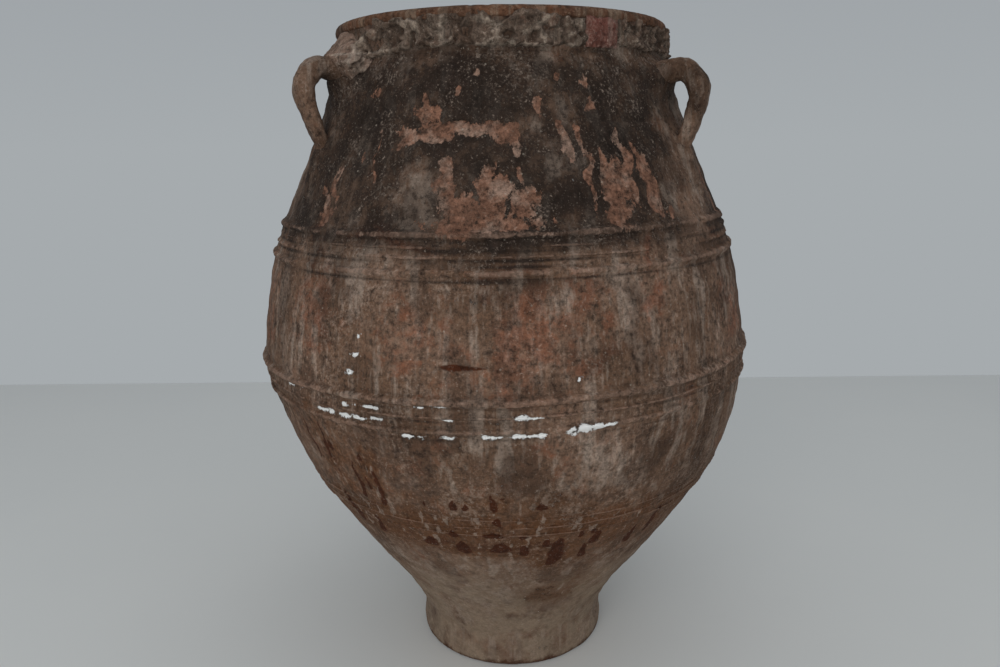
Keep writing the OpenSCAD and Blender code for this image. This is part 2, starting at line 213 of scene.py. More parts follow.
# Rusty brown showing in upright streaks, mostly just under the fine lines.
RUSTY = [
    (-2, 290, 14, 20, 0.95), (11, 276, 8, 30, 0.8), (-15, 292, 10, 19, 0.9), (-30, 300, 12, 24, 0.8),
    (0, 325, 46, 34, 0.75), (-4, 372, 22, 18, 0.5), (20, 165, 13, 36, 0.5), (-44, 440, 12, 60, 0.45),
    (22, 290, 6, 22, 0.6), (-31, 395, 3, 46, 0.8), (-43, 410, 3.5, 50, 0.85), (-38, 320, 8, 40, 0.65),
    (-36, 400, 1.6, 50, 0.8), (40, 300, 9, 36, 0.5), (0, 360, 20, 10, 0.3), (48, 380, 5, 60, 0.4),
    (-50, 330, 6, 40, 0.5), (-36, 445, 5, 20, 0.4), (62, 290, 14, 18, 0.7), (88, 286, 12, 20, 0.8),
    (112, 290, 12, 16, 0.7), (140, 286, 14, 20, 0.8), (168, 290, 12, 16, 0.7), (196, 286, 14, 20, 0.8),
    (224, 290, 12, 18, 0.7), (250, 286, 12, 20, 0.8), (276, 290, 12, 16, 0.7), (298, 300, 8, 26, 0.6),
    (100, 400, 4, 46, 0.5), (180, 400, 4, 46, 0.5), (260, 400, 4, 46, 0.5),
]

# The cords, top to bottom: name, height, width, how far it stands out, tilt in degrees, how full
# and how top-heavy its section is, material slot, how worn it is, seed.
CORDS = [
    ("upper_band_cord_1", 723, 14, 6.2, 0.6, 0.80, 1.1, "weathered_terracotta", 0.40, 1.0),
    ("upper_band_cord_2", 709, 7, 3.4, 0.6, 1.00, 1.0, "weathered_terracotta", 0.60, 2.0),
    ("upper_band_cord_3", 697, 7, 3.4, 0.6, 1.00, 1.0, "weathered_terracotta", 0.60, 3.0),
    ("upper_band_cord_4", 677, 13, 6.2, 0.6, 0.70, 1.5, "weathered_terracotta", 0.30, 4.0),
    ("middle_band_cord_1", 524, 14, 7.6, 1.3, 0.75, 1.0, "ochre_clay", 0.20, 5.0),
    ("middle_band_cord_2", 504, 7, 3.6, 1.3, 1.00, 1.2, "weathered_terracotta", 0.30, 6.0),
    ("middle_band_cord_3", 483, 14, 4.8, 1.3, 0.70, 1.8, "weathered_terracotta", 0.30, 7.0),
    ("lower_band_line_1", 346, 5, 2.8, 0.8, 1.00, 1.0, "streaked_clay", 0.35, 8.0),
    ("lower_band_line_2", 332, 5, 2.8, 0.8, 1.00, 1.0, "streaked_clay", 0.35, 9.0),
    ("lower_band_line_3", 317, 5, 2.8, 0.8, 1.00, 1.0, "streaked_clay", 0.35, 10.0),
]
UPPER_BAND_FROM, MIDDLE_BAND_FROM = 600, 400
FINE_LINE_PROUD = 3

# White plaster left on the cords: degrees, height, half width, half height.
PLASTER = [
    (-51.5, 511, 1.6, 3.0), (-48, 510, 0.7, 1.8), (-34, 505, 0.9, 2.6), (-31, 506, 0.8, 1.8),
    (-28, 508, 1.6, 2.0), (-17.5, 515, 0.8, 1.8), (-13.6, 517, 1.1, 2.4), (-41, 489, 1.8, 2.6),
    (-38, 489, 1.2, 3.8), (-34.5, 489, 1.6, 3.6), (-31, 490, 1.6, 2.8), (-27, 493, 0.9, 2.2),
    (1.4, 504, 1.0, 3.8), (3.6, 503, 1.6, 2.0), (-12, 500, 0.9, 1.6), (-20, 474, 1.2, 3.2),
    (-17.4, 474, 0.9, 2.2), (-12, 476, 1.3, 2.2), (-4.6, 479, 1.4, 3.8), (-2.6, 478, 0.9, 2.4),
    (1.2, 480, 1.4, 3.4), (3.4, 479, 1.4, 2.6), (5.2, 480, 0.7, 3.6), (11.2, 485, 1.0, 5.4),
    (13.4, 486, 1.4, 6.8), (16.0, 487, 1.6, 4.2), (18.6, 488, 1.6, 2.6), (-31, 573, 0.35, 3.0),
    (-31.6, 572, 1.0, 2.4), (-32.8, 549, 0.8, 4.0), (12.6, 548, 0.35, 3.0), (-31, 596, 0.3, 2.0),
    (70, 508, 2.0, 2.2), (84, 488, 2.4, 2.6), (118, 520, 1.8, 2.0), (160, 500, 3.0, 2.8),
    (206, 478, 3.0, 3.0), (228, 515, 2.2, 2.0), (268, 492, 2.6, 2.4),
]

# Dark drips that run down under the fine lines and above them: degrees, top, bottom, half width.
# Those that end below the fine lines have run together and are broader.
FINE_LINES_FOOT = 315
DRIPS = [
    (-13.4, 380, 360, 0.8), (-10.8, 374, 362, 0.9), (-4.5, 392, 360, 0.9), (6.4, 376, 363, 1.2),
    (-2.2, 388, 382, 0.5), (-37, 420, 352, 0.7), (-31, 408, 346, 0.9), (-34, 394, 370, 0.6),
    (-20, 372, 362, 0.7), (-4.6, 352, 333, 0.8), (-14.5, 322, 306, 1.0), (-22, 300, 282, 1.6),
    (-13, 300, 272, 1.8), (-5, 322, 310, 1.6), (-3.4, 302, 278, 2.0), (2.0, 316, 308, 0.9),
    (2.4, 296, 270, 1.1), (8.6, 306, 288, 1.0), (11.8, 306, 252, 1.7), (10.8, 268, 244, 1.3),
    (17.6, 318, 302, 0.6), (20.4, 318, 306, 0.5), (22.0, 312, 284, 1.1), (19.8, 288, 256, 0.9),
    (-38, 320, 280, 0.9), (-46, 350, 290, 0.9), (34, 300, 262, 0.9), (40, 330, 272, 0.8),
    (-44, 470, 404, 0.6), (-50, 460, 396, 0.6), (-42, 440, 424, 0.9), (-33.5, 434, 420, 0.7),
    (57, 318, 300, 0.6), (60, 306, 262, 1.5), (63.5, 300, 280, 0.8), (66, 384, 362, 0.7),
    (81, 310, 286, 0.7), (84, 300, 258, 1.6), (87.5, 322, 304, 0.6), (101, 296, 276, 1.1),
    (117, 376, 358, 0.9), (119, 312, 266, 0.9), (122, 304, 250, 1.7), (126, 318, 298, 0.7),
    (139, 298, 282, 0.8), (151, 330, 312, 0.6), (154, 308, 270, 1.5), (158, 300, 256, 1.0),
    (161, 388, 360, 0.8), (176, 312, 296, 0.7), (192, 306, 262, 1.8), (196, 318, 300, 0.6),
    (199, 300, 278, 1.2), (214, 372, 356, 0.9), (219, 310, 288, 0.9), (233, 302, 254, 1.5),
    (237, 314, 292, 0.8), (249, 296, 280, 1.0), (263, 308, 264, 1.7), (267, 384, 364, 0.7),
    (286, 312, 268, 1.2), (291, 302, 284, 0.7),
]

# A rust-filled gouge across the belly: its middle, and the two smears that colour it.
GOUGE_FRONT, GOUGE_HEIGHT = -9.5, 566
GOUGE_SMEARS = [(-10.5, 566, 3.0, 3.6, 1.0), (-8, 566.5, 3.2, 2.0, 1.0)]


def lean_over(z):
    """The lower walls stand a little to the right of the upper ones, which were built on later."""
    return 2.0 - 10.0 * ease((z - 370) / 150)


def settled(front, height):
    """Where a mark sits once the lean has carried the wall sideways."""
    return front - math.degrees(lean_over(height) / skin(min(height, JOIN_COLLAR)))


def patchwork(places, turn, z, power=3):
    """Strongest of the soft patches at each point."""
    best = np.zeros(len(z))
    for front, height, wide, tall, strength in places:
        near = np.abs(z - height) < 2.2 * tall
        if near.any():
            da = np.abs(turned(turn[near], settled(front, height))) / wide
            dz = np.abs(z[near] - height) / tall
            best[near] = np.maximum(best[near], strength * np.exp(-0.5 * (da ** power + dz ** power)))
    return best


def wander(co, turn, z, reach_deg, reach_mm, size, seed):
    """Shifts places about so that no patch keeps a tidy edge."""
    return (turn + reach_deg * 2 * grain(co, size, seed),
            z + reach_mm * 2 * grain(co, size, seed + 11.0))


def bareness(co, turn, z):
    moved_turn, moved_z = wander(co, turn, z, 1.5, 4, 30, 1.5)
    found = patchwork(BARE, moved_turn, moved_z)
    under_join = ease((JOIN_NECK + 1.5 - z) / 2.0)
    over_join = patchwork([p for p in BARE if p[1] > JOIN_NECK], moved_turn, moved_z)
    found = np.where(under_join > 0.5, found, over_join)
    return np.where((z < 705) | (z > 935), 0.0, found)


def root_smear(turn, z, r):
    """Clay wiped on to the wall round each handle's two roots."""
    most = np.zeros(len(z))
    for handle_turn in (RIGHT, LEFT, BACK):
        d = turned(turn, handle_turn + 90)
        along = np.radians(d) * r
        upper = 21.0 * bump(along, 42) * bump(z - 921, 21)
        lower = 9.0 * bump(along, 25) * bump(z - 816, 24) + 5.0 * bump(along, 17) * bump(z - 778, 36)
        most = np.maximum(most, np.where((z > 760) & (np.abs(d) < 26), upper + lower, 0.0))
    return most


def clay_relief(co, turn, r):
    """How far the hand-made surface stands off the true outline, in millimetres."""
    z = co[:, 2]
    off = -0.9 + 1.7 * grain(co, 190, 3.1) + 1.1 * grain(co, 52, 7.7)
    off += 0.45 * np.sin(z / 5.6 + 2.2 * grain(co, 240, 1.3))
    fine = 0.55 * grain(co, 15, 5.2) + 0.42 * grain(co, 7.0, 2.4)
    off += fine * np.where(z > 700, 1.5, 1.0)
    off -= 0.9 * ease((bareness(co, turn, z) - 0.38) / 0.2)
    rough = ease((z - 905) / 40)
    off += rough * (2.0 * np.abs(grain(co, 17, 9.1)) + 1.1 * grain(co, 8, 4.4))
    off -= 1.2 * bump(z - JOIN_NECK, 1.8)
    off += root_smear(turn, z, r)
    off -= 2.4 * bump(turned(turn, GOUGE_FRONT), 3.8) * bump(z - GOUGE_HEIGHT, 2.0)
    return off * (0.35 + 0.65 * ease(z / 26))


# ---------------------------------------------------------------- meshes

def finish_piece(name, bm, nodes, sharp=50, gloom=1.0, crest=None, pits=None):
    """Makes the object, hides the parts it stands in for, weathers it, then leans it over.

    gloom is how much of the dark crust the piece carries, crest how high on its cord each vertex is,
    pits how much darker the mortar is made where it lies thin between its lumps.
    """
    bmesh.ops.recalc_face_normals(bm, faces=bm.faces)
    for face in bm.faces:
        face.smooth = True
    limit = math.radians(sharp)
    for edge in bm.edges:
        if len(edge.link_faces) == 2 and edge.calc_face_angle(0.0) > limit:
            edge.smooth = False
    mesh = bpy.data.meshes.new(name)
    bm.to_mesh(mesh)
    bm.free()
    piece = bpy.data.objects.new(name, mesh)
    bpy.context.scene.collection.objects.link(piece)
    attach(piece, "root")
    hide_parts(*nodes)
    co = np.empty(len(mesh.vertices) * 3)
    mesh.vertices.foreach_get("co", co)
    co = co.reshape(-1, 3)
    weather(mesh, co / MM, gloom, crest, pits)
    co[:, 0] += MM * lean_over(co[:, 2] / MM)
    mesh.vertices.foreach_set("co", co.ravel())
    mesh.update()
    return piece


def drip_marks(co, turn, z):
    """Run marks: narrow at the top, rounded at the bottom, never quite straight."""
    found = np.zeros(len(z))
    moved = turn + 1.3 * grain(co * np.array([1, 1, 0.6]), 30, 6.2) + 0.7 * grain(co, 9, 6.9)
    for front, top, bottom, wide in DRIPS:
        spread = wide * (1.4 if bottom < FINE_LINES_FOOT else 1.0)
        near = (z > bottom - 14) & (z < top + 14)
        if near.any():
            way = np.clip((top - z[near]) / (top - bottom), 0, 1)
            round_end = np.sqrt(np.maximum(0.0, 1 - way ** 4))
            drop = spread * (0.15 + 1.25 * way ** 0.7 * round_end)
            d = np.abs(turned(moved[near], settled(front, top))) / drop
            end = ease((z[near] - bottom + 4) / 7) * ease((top + 9 - z[near]) / 14)
            found[near] = np.maximum(found[near], np.exp(-0.6 * d ** 2.5) * end)
    return found


def weather(mesh, co, gloom, crest, pits):
    """Stores where the clay is bare, red, limy and dark, with painted shade beside the cords; plastered,
    dripped, rusty, and paler on cord crests from rubbing and a painted highlight.
    """
    z = co[:, 2]
    turn = np.degrees(np.arctan2(co[:, 1], co[:, 0]))
    wide_turn, wide_z = wander(co, turn, z, 4.0, 16, 60, 4.5)
    outer = (np.hypot(co[:, 0], co[:, 1]) > skin(np.minimum(z, JOIN_COLLAR)) - 12).astype(float)

    dark = ease((z - 684) / 34) * (1 - 0.30 * ease((z - 918) / 24))
    dark -= patchwork(LIGHTER, wide_turn, wide_z, 2)
    dark = np.maximum(dark, patchwork(GRIME, wide_turn, wide_z, 2))
    # Painted shade: a dark line in the groove just under each cord and a fainter one just over it, kept
    # with the crust.
    for _, height, width, _, tilt, *_ in CORDS:
        level = height + math.tan(math.radians(tilt)) * co[:, 0]
        edge = bump(z - level + width / 2 + 1.5, 2.6) + 0.7 * bump(z - level - width / 2 - 1.5, 2.2)
        groove_shade = 0.85 if height > UPPER_BAND_FROM else 0.55 if height > MIDDLE_BAND_FROM else 0.3
        dark = np.maximum(dark, groove_shade * edge)
    dark = np.maximum(dark, 0.0) * gloom
    if pits is not None:
        dark = pits
    lime = patchwork(LIME, *wander(co, turn, z, 1.4, 12, 40, 8.5), 2)
    # A pale line along the mortar's foot: partly lime, partly a painted highlight on the ledge's edge.
    ledge_lime_and_highlight = bump(z - MORTAR_FOOT, 2.4) * np.clip(0.75 + 1.6 * grain(co, 40, 5.9), 0, 1)
    lime = np.maximum(lime, 1.3 * ledge_lime_and_highlight)
    bare = bareness(co, turn, z) if gloom > 0.9 else np.zeros(len(z))
    red = 1.35 * patchwork(RED, wide_turn, wide_z, 2)
    wear = np.stack([bare * outer, red * outer, lime * outer, dark * outer], axis=1)

    white = patchwork([(a, h, w, t * 0.8, 1.0) for a, h, w, t in PLASTER],
                      turn + 0.9 * grain(co, 9, 2.5), z + 1.8 * grain(co, 8, 3.5), 2)
    smear = patchwork(GOUGE_SMEARS, turn, z, 2)
    # Paler cord crests: partly rubbed clay, partly a painted highlight.
    rubbed_and_highlight = np.zeros(len(z)) if crest is None else crest
    drips = np.maximum(drip_marks(co, turn, z), smear)
    rusty = patchwork(RUSTY, wide_turn, z, 2)
    marks = np.stack([white * outer, drips * outer, rubbed_and_highlight, rusty * outer], axis=1)
    for name, values in (("wear", wear), ("marks", marks)):
        layer = mesh.color_attributes.new(name, "FLOAT_COLOR", "POINT")
        layer.data.foreach_set("color", values.ravel())


def closed_chain(bm, points):
    verts = [bm.verts.new((r * MM, 0.0, z * MM)) for r, z in points]
    edges = [bm.edges.new((verts[i], verts[(i + 1) % len(verts)])) for i in range(len(verts))]
    return verts + edges


def spin_round(bm, geometry, sweep=360.0, steps=SIDES):
    """Turns an outline about the middle line; a full turn is one sixteenth, doubled four times."""
    whole = sweep >= 360
    doublings = 4 if whole else 0
    share = 2 ** doublings
    bmesh.ops.spin(bm, geom=geometry, cent=(0, 0, 0), axis=(0, 0, 1), dvec=(0, 0, 0),
                   angle=math.radians(sweep / share), steps=steps // share, use_merge=False,
                   use_duplicate=False)
    for k in range(doublings):
        made = bmesh.ops.duplicate(bm, geom=bm.verts[:] + bm.edges[:] + bm.faces[:])["geom"]
        fresh = [v for v in made if isinstance(v, bmesh.types.BMVert)]
        bmesh.ops.rotate(bm, verts=fresh, cent=(0, 0, 0),
                         matrix=Matrix.Rotation(math.radians(sweep / share * 2 ** k), 3, "Z"))
    if whole:
        bmesh.ops.remove_doubles(bm, verts=bm.verts, dist=0.00002)


def heights(z0, z1, step):
    count = max(1, round(abs(z1 - z0) / step))
    return [z0 + (z1 - z0) * i / count for i in range(count + 1)]


def press_clay(bm, shell_depth=9.0):
    """Gives the outside of a turned section its hand-made surface."""
    co, r, turn = places_of(bm)
    base = np.where(co[:, 2] < JOIN_COLLAR + 1, skin(co[:, 2]), 247.0)
    push_out(bm, r, clay_relief(co, turn, r), r > base - shell_depth)


def wall_section(name, z0, z1):
    bm = bmesh.new()
    points = [(outline(z), z) for z in heights(z0, z1, 3.6)]
    points += [(inside(z), z) for z in heights(z1 + SCARF, z0 + SCARF, 16)]
    spin_round(bm, closed_chain(bm, points))
    press_clay(bm)
    return finish_piece(name + "_clay", bm, [name])


def cord(name, z, width, proud, tilt, full, heavy, slot, worn, seed):
    """A roll of clay pressed round the wall; its edges run just under the wall's skin.

    It is spun at a plain radius, flat, and then laid on the wall's own outline.
    """
    bm = bmesh.new()
    flat = 500.0
    under = 1.6
    sway = 1.1
    points = []
    for i in range(13):
        t = i / 12
        points.append((flat - under + (proud + under) * math.sin(math.pi * t ** heavy) ** full,
                       width * (t - 0.5)))
    points += [(flat - 5, width / 2), (flat - 5, -width / 2)]
    spin_round(bm, closed_chain(bm, points), steps=720)
    co, r, turn = places_of(bm)
    high, h = r - flat, co[:, 2]
    ring = skin(z)
    c, s = np.cos(np.radians(turn)), np.sin(np.radians(turn))
    way = np.stack([ring * c, ring * s, np.full(len(c), seed * 40)], axis=1)
    h = h * (1 + 0.20 * grain(way, 60, seed + 1))
    level = z + math.tan(math.radians(tilt)) * way[:, 0] + h
    level += sway * grain(way, 110, seed + 2) + 0.8 * grain(way, 24, seed + 5)
    spot = np.stack([way[:, 0], way[:, 1], level], axis=1)
    wear = 1 - worn * (0.5 + grain(way, 80, seed + 3)) - 0.5 * worn * np.abs(grain(spot, 9, seed + 4))
    chip = np.maximum(0.0, grain(way, 26, seed + 6) - 0.30) * 2.6
    worn_high = -under + (high + under) * np.maximum(0.25, wear - chip * worn * 1.8)
    worn_high += 0.45 * grain(spot, 5.5, seed) * (worn_high > 0)
    high = np.where(high > -under - 0.1, worn_high, high)
    out = skin(level) + clay_relief(spot, turn, np.full(len(c), ring)) + high
    for i, vert in enumerate(bm.verts):
        vert.co = Vector((out[i] * c[i], out[i] * s[i], level[i])) * MM
    # Paler where the cord stands highest, partly rubbed clay and partly a painted highlight; stronger on
    # the fine lines.
    crest = ease((high / proud - 0.25) / 0.5) * (1.5 if proud < FINE_LINE_PROUD else 1.0)
    return finish_piece(name + "_clay", bm, [name], crest=crest)


def strap_points():
    """The line a handle's strap follows, as distance from the middle line and height."""
    below_collar, drop, reach = 20, 101, 59
    top = JOIN_COLLAR - below_collar
    low = top - drop
    peak = outline(top) + reach
    wall_top, wall_low = outline(top), outline(low)
    return [
        (wall_top - 15, top - 4), (wall_top + 8, top + 3),
        (wall_top + (peak - wall_top) * 0.62, top + 7), (peak - 4, top - 8), (peak, top - 27),
        (peak + (wall_low - peak) * 0.35, top - 56.6), (peak + (wall_low - peak) * 0.75, top - 80.8),
        (wall_low - 3, low), (outline(low - 38) - 10, low - 38),
    ]


def handle(name, turn, seed, lift=0.0):
    """A strap of clay drawn out from the neck, bent over and wiped down on to the shoulder."""
    around, along = 56, 90
    knots = [Vector(p) for p in strap_points()]
    spans = len(knots) - 1

    def pull(i):
        if i == 0:
            return knots[1] - knots[0]
        if i == spans:
            return knots[spans] - knots[spans - 1]
        return (knots[i + 1] - knots[i - 1]) / 2

    def middle(u):
        i = min(int(u * spans), spans - 1)
        t = u * spans - i
        return ((2 * t ** 3 - 3 * t * t + 1) * knots[i] + (t ** 3 - 2 * t * t + t) * pull(i)
                + (3 * t * t - 2 * t ** 3) * knots[i + 1] + (t ** 3 - t * t) * pull(i + 1))

    def loop_places(u):
        c = middle(u)
        d = (middle(min(u + 0.01, 1)) - middle(max(u - 0.01, 0))).normalized()
        root = 1 - ease(u / 0.32)
        wide = 42 + 34 * root - 8 * ease((u - 0.45) / 0.3) - 8 * ease((u - 0.85) / 0.15)
        thick = 30 + 8 * (1 - ease(u / 0.25)) - 9 * ease((u - 0.40) / 0.3) - 5 * ease((u - 0.75) / 0.25)
        places = []
        for j in range(around):
            a = 2 * math.pi * j / around
            ca, sa = math.cos(a), math.sin(a)
            across = math.copysign(abs(ca) ** 0.8, ca) * wide / 2
            off = math.copysign(abs(sa) ** 0.8, sa) * thick / 2
            p = Vector((c.x - d.y * off, across, c.y + d.x * off + lift))
            out = Vector((-d.y * sa, ca, d.x * sa))
            lumps = 2.2 * grain(p, 34, seed) + 1.3 * grain(p, 13, seed + 2) + 0.8 * grain(p, 6, seed + 3)
            p += out * lumps
            finger_lines = 0.4 * math.sin(across / 4.2 + 2 * u) * ease((u - 0.15) / 0.2)
            p += out * (finger_lines if sa > 0 else 0.0)
            places.append(p)
        return places

    bm = bmesh.new()
    made = bmesh.ops.create_circle(bm, cap_ends=True, radius=1.0, segments=around)
    loop = sorted(made["verts"], key=lambda v: math.atan2(v.co.y, v.co.x) % (2 * math.pi))
    for vert, place in zip(loop, loop_places(0.0)):
        vert.co = place * MM
    for k in range(1, along + 1):
        edges = [bm.edges.get((loop[j], loop[(j + 1) % around])) for j in range(around)]
        grown = bmesh.ops.extrude_edge_only(bm, edges=edges)
        fresh = {v for v in grown["geom"] if isinstance(v, bmesh.types.BMVert)}
        loop = [next(e.other_vert(v) for e in v.link_edges if e.other_vert(v) in fresh) for v in loop]
        for vert, place in zip(loop, loop_places(k / along)):
            vert.co = place * MM
    edges = [bm.edges.get((loop[j], loop[(j + 1) % around])) for j in range(around)]
    bmesh.ops.contextual_create(bm, geom=edges)
    bmesh.ops.rotate(bm, verts=bm.verts, cent=(0, 0, 0),
                     matrix=Matrix.Rotation(math.radians(turn), 3, "Z"))
    return finish_piece(name + "_clay", bm, [name], sharp=80, gloom=0.55)


def foot():
    """The foot ring, and the disc that closes the jar's bottom inside it."""
    bm = bmesh.new()
    points = [(151.5, 0), (153.4, 0.9), (154.8, 2.2), (155.6, 4)]
    points += [(outline(z), z) for z in heights(6, JOIN_STEM, 3.0)]
    points += [(inside(JOIN_STEM + SCARF), JOIN_STEM + SCARF), (122.5, 28), (126.5, 0)]
    spin_round(bm, closed_chain(bm, points))
    co, r, turn = places_of(bm)
    off = clay_relief(co, turn, r)
    off -= 1.8 * np.maximum(0.0, grain(co * np.array([1, 1, 0]), 21, 6.6)) * bump(co[:, 2], 6)
    push_out(bm, r, off, (r > 145) & (co[:, 2] > 0.5))
    ring = finish_piece("foot_ring_clay", bm, ["foot_ring"], sharp=60)

    bm = bmesh.new()
    bmesh.ops.create_cone(bm, cap_ends=True, segments=160, radius1=126.5 * MM, radius2=122.5 * MM,
                          depth=28 * MM, matrix=Matrix.Translation((0, 0, 14 * MM)))
    faces = [f for f in bm.faces if abs(f.normal.z) > 0.9]
    for width in (30, 34, 34):
        bmesh.ops.inset_region(bm, faces=faces, thickness=width * MM, depth=0)
    for vert in bm.verts:
        x, y, z = (c / MM for c in vert.co)
        if z > 20 and math.hypot(x, y) < 118:
            vert.co.z += MM * (1.5 * grain((x, y, z), 60, 2.0))
    disc = finish_piece("base_disc_clay", bm, ["base_disc"], sharp=40)
    return ring, disc


def neck():
    bm = bmesh.new()
    points = [(outline(z), z) for z in heights(JOIN_NECK, JOIN_COLLAR, 2.9)]
    points += [(220, JOIN_COLLAR + SCARF)]
    points += [(inside(z), z) for z in heights(JOIN_COLLAR - 10, JOIN_NECK + SCARF, 13)]
    spin_round(bm, closed_chain(bm, points))
    press_clay(bm)
    return finish_piece("neck_wall_clay", bm, ["neck_wall"])


def collar_skin(z):
    """Outside radius of the collar at one height or many."""
    return 245.5 + 1.5 * np.clip((z - 949) / 36, 0, 1)


def collar():
    bm = bmesh.new()
    points = [(246, JOIN_COLLAR), (245.6, 949)] + [(collar_skin(z), z) for z in heights(952, JOIN_LIP, 3.3)]
    points += [(221, JOIN_LIP + 6), (220.6, 974), (220, JOIN_COLLAR + SCARF)]
    spin_round(bm, closed_chain(bm, points))
    co, r, turn = places_of(bm)
    off = clay_relief(co, turn, r) * np.where(co[:, 2] > 946, 0.5, 1.0)
    push_out(bm, r, off, r > 240)
    return finish_piece("collar_clay", bm, ["collar"])


def lip():
    bm = bmesh.new()
    points = [(247, JOIN_LIP), (248.4, 986), (249.4, 988.2)]
    for a in range(0, 91, 10):
        points.append((242 + 7.6 * math.cos(math.radians(a)), 992.4 + 7.6 * math.sin(math.radians(a))))
    points += [(240, 1000), (236, 1000), (232, 1000), (229, 1000)]
    for a in range(90, 181, 15):
        points.append((227 + 6 * math.cos(math.radians(a)), 994 + 6 * math.sin(math.radians(a))))
    spin_round(bm, closed_chain(bm, points))
    co, r, turn = places_of(bm)
    nick = np.maximum(0.0, grain(co, 19, 9.9) - 0.36) * 6
    off = 0.9 * grain(co, 120, 8.0) + 0.5 * grain(co, 14, 8.5) - nick
    push_out(bm, r, off, (r > 236) & (co[:, 2] > 985.5))
    sunk = 0.6 * np.abs(grain(co, 26, 1.9)) + 0.6 * nick
    for i, vert in enumerate(bm.verts):
        if co[i, 2] > 990:
            vert.co.z -= MM * sunk[i]
    return finish_piece("lip_clay", bm, ["lip"], sharp=60)


# Where the red patch starts and ends, in degrees right of the front.
PATCH_FROM, PATCH_TO = 25.8, 38.0


def mortar_depth(co, turn, z):
    """Thickness of the rough mortar on the collar; below nothing it runs under the clay."""
    front = turned(turn, 0)
    ragged = 8.0 * grain(co, 34, 4.1) + 6.0 * grain(co, 12, 4.9) + 2.4 * grain(co, 5, 4.4)
    upper = MORTAR_TOP + ragged + 5 * bump(front - 8, 5) + 5 * bump(front + 10, 8)
    upper -= 12 * bump(front + 0.5, 2.6)
    upper -= 20 * ease((-front - 40) / 16) * bump(front + 68, 40)
    upper = np.minimum(upper, 996.0)
    lower = MORTAR_FOOT + 4.0 * grain(co, 24, 2.8) + 3.0 * grain(co, 8, 3.3)
    lower -= 9 * ease((-front - 30) / 14) * bump(front + 52, 26)
    body = np.minimum(ease((upper - z) / 4.0), ease((z - lower) / 2.0))
    pits = np.maximum(0.0, grain(co, 15, 6.1) - 0.10) * 14
    lumps = 9.0 * np.abs(grain(co, 26, 7.1)) + 7.0 * grain(co, 12, 7.9) + 4.6 * grain(co, 5.5, 8.3) - pits
    roll = 2.4 * bump(z - (upper - 7), 7)
    ledge = 3.4 * bump(z - lower - 4, 4.5)
    deep = body * (3.4 + lumps + roll + ledge) - 1.3
    beside = np.minimum(front - PATCH_FROM, PATCH_TO - front)
    beside = beside + 1.6 * grain(co, 9, 3.7)
    sunk = np.minimum(deep, 2.6 - 3.4 * ease((beside + 0.6) / 1.4))
    return np.where((front > PATCH_FROM - 1.5) & (front < PATCH_TO + 1.5), sunk, deep)


def mortar_coat():
    bm = bmesh.new()
    points = [(collar_skin(z) + 4, z) for z in heights(940, 998, 1.8)]
    points += [(238, 996), (238, 942)]
    spin_round(bm, closed_chain(bm, points), steps=864)
    co, r, turn = places_of(bm)
    z = co[:, 2]
    base = collar_skin(z)
    low = np.minimum(z, 944)
    on_neck = np.stack([co[:, 0], co[:, 1], low], axis=1)
    base = np.where(z < 949, skin(low) + 0.6 * clay_relief(on_neck, turn, r), base)
    base = base + 1.0 * ease((z - 982) / 6)
    deep = mortar_depth(co, turn, z)
    push_out(bm, r, base + deep - r, r > 240)
    lift = 1.6 * grain(co, 6, 5.5)
    for i, vert in enumerate(bm.verts):
        vert.co.z += MM * lift[i]
    # Darker where the mortar lies thin, between its lumps.
    pits = 0.25 + 0.95 * (1 - ease((deep - 0.4) / 4.2)) - 0.35 * ease((deep - 4.2) / 3.5)
    return finish_piece("collar_mortar_coat", bm, ["collar_mortar"], sharp=85, pits=pits)


def red_patch():
    bm = bmesh.new()
    rows = heights(950.5, 988, 2.0)
    points = [(collar_skin(z) + 4.5, z) for z in rows] + [(243, 988), (243, 950.5)]
    spin_round(bm, closed_chain(bm, points), sweep=PATCH_TO - PATCH_FROM, steps=44)
    edges = [e for e in bm.edges if e.is_boundary]
    bmesh.ops.holes_fill(bm, edges=edges, sides=0)
    bmesh.ops.rotate(bm, verts=bm.verts, cent=(0, 0, 0),
                     matrix=Matrix.Rotation(math.radians(PATCH_FROM - 90), 3, "Z"))
    co, r, turn = places_of(bm)
    front, z = turned(turn, 0), co[:, 2]
    edge = 1.6 * grain(co, 11, 3.3) + 0.8 * grain(co, 5, 3.9)
    rim = np.minimum(ease((front - PATCH_FROM - 0.4 + edge) / 1.3),
                     ease((PATCH_TO - front - 0.4 + edge) / 1.3))
    rim = np.minimum(rim, np.minimum(ease((z - 951 + 4 * edge) / 5), ease((988 - z + 4 * edge) / 5)))
    off = -3.6 * (1 - rim) + 1.8 * grain(co, 15, 1.2) + 0.9 * grain(co, 6, 1.9)
    off += np.where(z > JOIN_LIP, 0.8, 0.0)
    push_out(bm, r, off, r > 246)
    return finish_piece("collar_patch_clay", bm, ["collar_patch"], sharp=70)


def mortar_lump():
    """A handful of mortar over the left handle's root, sagging towards the front."""
    bm = bmesh.new()
    bmesh.ops.create_icosphere(bm, subdivisions=6, radius=1.0)
    centre = Vector((248, 0, 953))
    half_size = Vector((31, 62, 34))
    for vert in bm.verts:
        n = vert.co.normalized()
        p = Vector((n.x * half_size.x, n.y * half_size.y, n.z * half_size.z))
        p *= 1 + 0.20 * grain(n, 0.70, 3.0) + 0.14 * grain(n, 0.34, 4.0) + 0.10 * grain(n, 0.16, 5.0)
        p.x -= 0.55 * max(p.z, 0.0)
        p.z -= 0.30 * p.y if p.y > 0 else -0.06 * p.y
        vert.co = (centre + p) * MM
    bmesh.ops.rotate(bm, verts=bm.verts, cent=(0, 0, 0),
                     matrix=Matrix.Rotation(math.radians(LEFT), 3, "Z"))
    return finish_piece("handle_mortar_lump", bm, ["handle_mortar"], sharp=85)


# ---------------------------------------------------------------- materials

